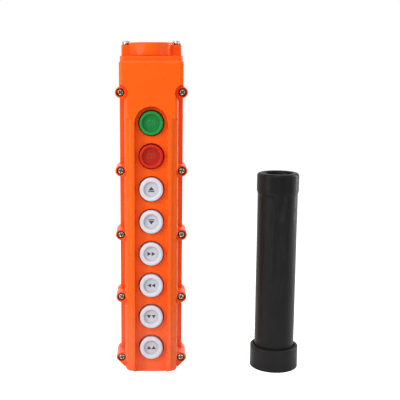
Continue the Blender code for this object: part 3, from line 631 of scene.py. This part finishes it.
def make_buttons():
    """A dished cap for each button, with letters on the coloured caps and marks on the white ones."""
    marks = mark_outlines()
    for name in BUTTON_NAMES:
        node = f"button_{name}"
        low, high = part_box(node)
        middle = (low + high) / 2
        face = Vector((middle.x, low.y, middle.z))
        dish = face + Vector((0.0, DISH_DEPTH, 0.0))
        coloured = name in CAP_COLOURS
        slot = CAP_COLOURS[name] if coloured else "white_plastic"
        dish_radius = COLOUR_DISH_RADIUS if coloured else WHITE_DISH_RADIUS
        cap = cap_mesh(f"cap_{name}", dish_radius, high.y - low.y)
        piece(f"cap_{name}", cap, slot, node, face, TO_FRONT, stands_for=node)
        if coloured:
            letters = letters_mesh(name.upper())
            piece(f"letters_{name}", letters, slot, node, dish, TO_FRONT, ink=f"{name}_letters")
        else:
            mark = prism_mesh(f"mark_{name}", marks[name], -MARK_RISE, MARK_RISE)
            piece(f"mark_{name}", mark, slot, node, dish, TO_FRONT, ink="mark_ink")


def screw_mesh(name, head, height, thread, length):
    """A pan head screw along Z with a tapering cross recess. The underside of the head is at height 0."""
    blank = turned_mesh(name, eased([
        (0.0, height, 0),
        (head, height * HEAD_SHOULDER, height * HEAD_DOME_RADIUS),
        (head, 0.0, height * HEAD_EDGE_RADIUS),
        (thread, 0.0, 0),
        (thread, -length, 0),
        (0.0, -length, 0),
    ]), SCREW_SIDES)
    half = head * RECESS_HALF_WIDTH
    levels = ((1 - RECESS_DEPTH, RECESS_TAPER), (1.0, 1.0), (CUTTER_TOP, CUTTER_FLARE))
    points = []
    for level, share in levels:
        reach = head * RECESS_REACH * share
        for quarter in range(4):
            turn = Matrix.Rotation(math.pi / 2 * quarter, 2)
            for spot in ((reach, -half), (reach, half), (half, half)):
                points.append((*(turn @ Vector(spot)), height * level))
    cutter = solid_mesh("recess", points, stack_faces(len(points) // len(levels), len(levels)))
    return cut_mesh(blank, cutter)


def make_screws():
    """Case screws that face the front and collar screws that face up, each turned to its own angle."""
    for kind, (height, thread) in SCREWS.items():
        names = sorted(node for node in nodes if node.startswith(f"{kind}_screw"))
        for number, node in enumerate(names):
            low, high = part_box(node)
            middle = (low + high) / 2
            if kind == "case":
                seat = (middle.x, low.y + height, middle.z)
                to_face = TO_FRONT
                length = high.y - low.y - height
            else:
                seat = (middle.x, middle.y, high.z - height)
                to_face = (0, 0, 0)
                length = high.z - low.z - height
            mesh = screw_mesh(f"{node}_steel", (high.x - low.x) / 2, height, thread, length)
            mesh.transform(Matrix.Rotation(SCREW_TURN * (number + 1), 4, "Z"))
            piece(f"{node}_steel", mesh, "zinc_steel", "housing", seat, to_face, stands_for=node)


def coil_mesh(name, low, high):
    """A coil of round wire along Y that fills a box, with closed turns at both ends."""
    middle = (low + high) / 2
    radius = (high.x - low.x) / 2 - SPRING_WIRE_RADIUS
    start, end = high.y - SPRING_WIRE_RADIUS, low.y + SPRING_WIRE_RADIUS
    closed = 2 * SPRING_WIRE_RADIUS * SPRING_CLOSED_TURNS / abs(end - start)
    shares = (0.0, closed, 1 - closed, 1.0)
    turns = (0.0, SPRING_CLOSED_TURNS, SPRING_TURNS - SPRING_CLOSED_TURNS, SPRING_TURNS)
    rings = SPRING_TURNS * SPRING_TURN_POINTS + 1
    points = []
    for step in range(rings):
        turn = step / SPRING_TURN_POINTS
        leg = next(leg for leg in range(len(turns) - 1) if turn <= turns[leg + 1])
        passed = (turn - turns[leg]) / (turns[leg + 1] - turns[leg])
        share = shares[leg] + (shares[leg + 1] - shares[leg]) * passed
        out = Vector((math.cos(math.tau * turn), 0.0, math.sin(math.tau * turn)))
        spot = Vector((middle.x, start + (end - start) * share, middle.z)) + out * radius
        for side in range(SPRING_WIRE_SIDES):
            angle = math.tau * side / SPRING_WIRE_SIDES
            around = out * math.cos(angle) + Vector((0.0, math.sin(angle), 0.0))
            points.append(spot + around * SPRING_WIRE_RADIUS)
    return solid_mesh(name, points, stack_faces(SPRING_WIRE_SIDES, rings))


def make_springs():
    """Coils of wire in the places of the return springs."""
    for name in BUTTON_NAMES:
        node = f"return_spring_{name}"
        low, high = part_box(node)
        mesh = coil_mesh(f"coil_{name}", low, high)
        coil = piece(f"coil_{name}", mesh, "spring_steel", "housing", stands_for=node)
        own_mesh(coil)


def make_sleeve():
    """A rubber tube whose wall wanders a little, with a round rim over a bead and a groove at its foot."""
    low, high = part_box("cable_sleeve")
    height = high.z - low.z
    foot = (high.x - low.x) / 2
    rim = SLEEVE_RADIUS + SLEEVE_RIM_REACH
    rim_bottom = height - SLEEVE_RIM_HEIGHT
    edge = SLEEVE_EDGE_RADIUS
    bead_top = rim_bottom - SLEEVE_BEAD
    groove_floor = SLEEVE_FOOT_HEIGHT - SLEEVE_GROOVE_DEPTH
    groove_wall = SLEEVE_RADIUS + SLEEVE_GROOVE_WIDTH
    corners = eased([
        (SLEEVE_BORE_RADIUS, height, edge),
        (rim, height, SLEEVE_RIM_RADIUS),
        (rim, rim_bottom, edge / 4),
        (SLEEVE_RADIUS, rim_bottom, 0),
        (SLEEVE_RADIUS, bead_top, 0),
        (SLEEVE_RADIUS + SLEEVE_BEAD, bead_top - 2 * SLEEVE_BEAD, SLEEVE_BEAD),
        (SLEEVE_RADIUS, bead_top - 4 * SLEEVE_BEAD, 0),
        (SLEEVE_RADIUS, groove_floor, 0),
        (groove_wall, groove_floor, 0),
        (groove_wall, SLEEVE_FOOT_HEIGHT, edge / 2),
        (foot, SLEEVE_FOOT_HEIGHT, edge),
        (foot, 0.0, edge),
        (SLEEVE_BORE_RADIUS, 0.0, edge / 2),
    ])
    profile = []
    for index, (radius, level) in enumerate(corners):
        next_radius, next_level = corners[(index + 1) % len(corners)]
        steps = max(1, round(math.hypot(next_radius - radius, next_level - level) / SLEEVE_STEP))
        for step in range(steps):
            share = step / steps
            profile.append((radius + (next_radius - radius) * share, level + (next_level - level) * share))
    mesh = turned_mesh("sleeve_rubber", profile, SLEEVE_SIDES)
    for vertex in mesh.vertices:
        wave = noise.noise(vertex.co * SLEEVE_WAVE_SCALE) * SLEEVE_WAVE
        if edge < vertex.co.z < height - edge:
            vertex.co.xy += vertex.co.xy.normalized() * (wave - SLEEVE_WAVE)
    place = ((low.x + high.x) / 2, (low.y + high.y) / 2, low.z)
    piece("sleeve_rubber", mesh, "black_rubber", "sleeve", place, stands_for="cable_sleeve")


def distance_to(side, point):
    """Distance from an edge to a point."""
    start, end = (corner.co for corner in side.verts)
    run = end - start
    share = min(1.0, max(0.0, (point - start).dot(run) / run.length_squared))
    return (start + run * share - point).length


def has_room(edge):
    """True where an edge can be rounded without running into what is near its ends.

    The edges around it have to be long enough, the far sides of its faces far enough across, and no corner
    may lie close beside a seam that ends on it, since that end moves with the rounding.
    """
    near = [other for corner in edge.verts for other in corner.link_edges]
    around = [other.calc_length() for other in near]
    across = [
        distance_to(side, corner.co)
        for face in edge.link_faces for side in face.edges
        for corner in edge.verts if corner not in side.verts
    ]
    seams = [other for other in near if other.calc_face_angle(0.0) <= SMOOTH_ANGLE]
    beside = [
        distance_to(seam, corner.co)
        for seam in seams for face in seam.link_faces
        for corner in face.verts if corner not in seam.verts
    ]
    return (
        min(around) > ROOM_ALONG * MOULD_EDGE
        and min(across) > ROOM_ACROSS * MOULD_EDGE
        and min(beside, default=math.inf) > ROOM_BESIDE * MOULD_EDGE
    )


def between_flats(edge):
    """True where both faces of an edge are large."""
    return min(face.calc_area() for face in edge.link_faces) > LARGE_FLAT


def make_mouldings():
    """Copies of the covers and the collar with whole flats, rounded along each edge that has room for it."""
    for name in ("front_cover", "rear_cover", "gland_collar"):
        shape = bmesh.new()
        shape.from_mesh(nodes[name].data)
        bmesh.ops.remove_doubles(shape, verts=shape.verts, dist=WELD)
        bmesh.ops.dissolve_limit(shape, angle_limit=FLAT_ANGLE, verts=shape.verts, edges=shape.edges)
        clear = [edge for edge in shape.edges if edge.calc_face_angle(0.0) > SMOOTH_ANGLE and has_room(edge)]
        bmesh.ops.bevel(
            shape, geom=clear, affect="EDGES", offset=MOULD_EDGE, offset_type="OFFSET", segments=MOULD_STEPS,
            profile=0.5, clamp_overlap=False,
        )
        for face in shape.faces:
            face.smooth = True
        for edge in shape.edges:
            limit = FLAT_ANGLE if between_flats(edge) else SMOOTH_ANGLE
            edge.smooth = edge.calc_face_angle(0.0) < limit
        mesh = bpy.data.meshes.new(f"{name}_moulding")
        shape.to_mesh(mesh)
        shape.free()
        made = piece(f"{name}_moulding", mesh, "orange_plastic", "housing", stands_for=name)
        normals = made.modifiers.new("normals", "WEIGHTED_NORMAL")
        normals.keep_sharp = True


def dress_nodes():
    """Gives each node its finish."""
    for entry in frame["record"]["subparts"]:
        node = nodes[entry["node"]]
        node.data.materials.clear()
        node.data.materials.append(MATERIALS[entry["material_slot"]])


def seen_directly(tree):
    """1 on a ray from the camera, and on one that a mirror or glass passes on."""
    path = add(tree, "LightPath")
    seen = path.outputs["Is Camera Ray"]
    for other in ("Is Glossy Ray", "Is Transmission Ray"):
        seen = add(tree, "Math", {0: seen, 1: path.outputs[other]}, operation="MAXIMUM").outputs["Value"]
    return seen


def make_floor():
    """A pale floor that shows white where nothing shades it."""
    ends = (-FLOOR_HALF, FLOOR_HALF)
    mesh = bpy.data.meshes.new("floor")
    mesh.from_pydata([(x, y, 0) for y in ends for x in ends], [], [(0, 1, 3, 2)])
    floor = bpy.data.objects.new("floor", mesh)
    bpy.context.scene.collection.objects.link(floor)
    floor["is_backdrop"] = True
    made, tree, shader = new_material("floor")
    shader.inputs["Base Color"].default_value = tint(WHITE, FLOOR_TONE)
    shader.inputs["Roughness"].default_value = 0.9
    shader.inputs["Specular IOR Level"].default_value = 0.0
    strength = remap(tree, seen_directly(tree), 0.0, 1.0, 0.0, FLOOR_GLOW)
    glow = add(tree, "Emission", {"Color": tint(WHITE), "Strength": strength})
    both = add(tree, "AddShader", {0: shader.outputs["BSDF"], 1: glow.outputs["Emission"]})
    tree.links.new(both.outputs["Shader"], tree.nodes["Material Output"].inputs["Surface"])
    mesh.materials.append(made)


def make_surround():
    """A world that shows white and lights the object faintly."""
    world = bpy.data.worlds.new("studio")
    world.use_nodes = True
    bpy.context.scene.world = world
    tree = world.node_tree
    background = tree.nodes["Background"]
    background.inputs["Color"].default_value = tint(WHITE)
    level = remap(tree, seen_directly(tree), 0.0, 1.0, WORLD_LEVEL, 1.0)
    tree.links.new(level, background.inputs["Strength"])


def make_lamps():
    """Soft boxes round the object, each facing its middle."""
    low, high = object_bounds()
    middle = (low + high) / 2
    for name, (azimuth, elevation, distance, width, height, power) in LAMPS.items():
        turn, lift = math.radians(azimuth), math.radians(elevation)
        away = Vector((math.sin(turn) * math.cos(lift), -math.cos(turn) * math.cos(lift), math.sin(lift)))
        lamp = bpy.data.lights.new(name, "AREA")
        lamp.shape = "RECTANGLE"
        lamp.size = width
        lamp.size_y = height
        lamp.energy = power
        holder = bpy.data.objects.new(name, lamp)
        holder.location = middle + away * distance
        holder.rotation_euler = away.to_track_quat("Z", "Y").to_euler()
        bpy.context.scene.collection.objects.link(holder)


def make_camera():
    """A camera where the photograph's was."""
    lens = bpy.data.cameras.new("camera")
    lens.sensor_width = SENSOR_WIDTH
    lens.lens = FOCAL_PIXELS / PHOTO_SIDE * SENSOR_WIDTH
    lens.shift_x = CAMERA_SHIFT
    camera = bpy.data.objects.new("camera", lens)
    camera.location = CAMERA_PLACE
    camera.rotation_euler = (math.pi / 2 - CAMERA_PITCH, 0, 0)
    bpy.context.scene.collection.objects.link(camera)
    bpy.context.scene.camera = camera


bpy.context.scene.view_settings.view_transform = "Standard"
make_camera()
make_floor()
make_surround()
make_lamps()
dress_nodes()
make_mouldings()
make_buttons()
make_screws()
make_springs()
make_sleeve()
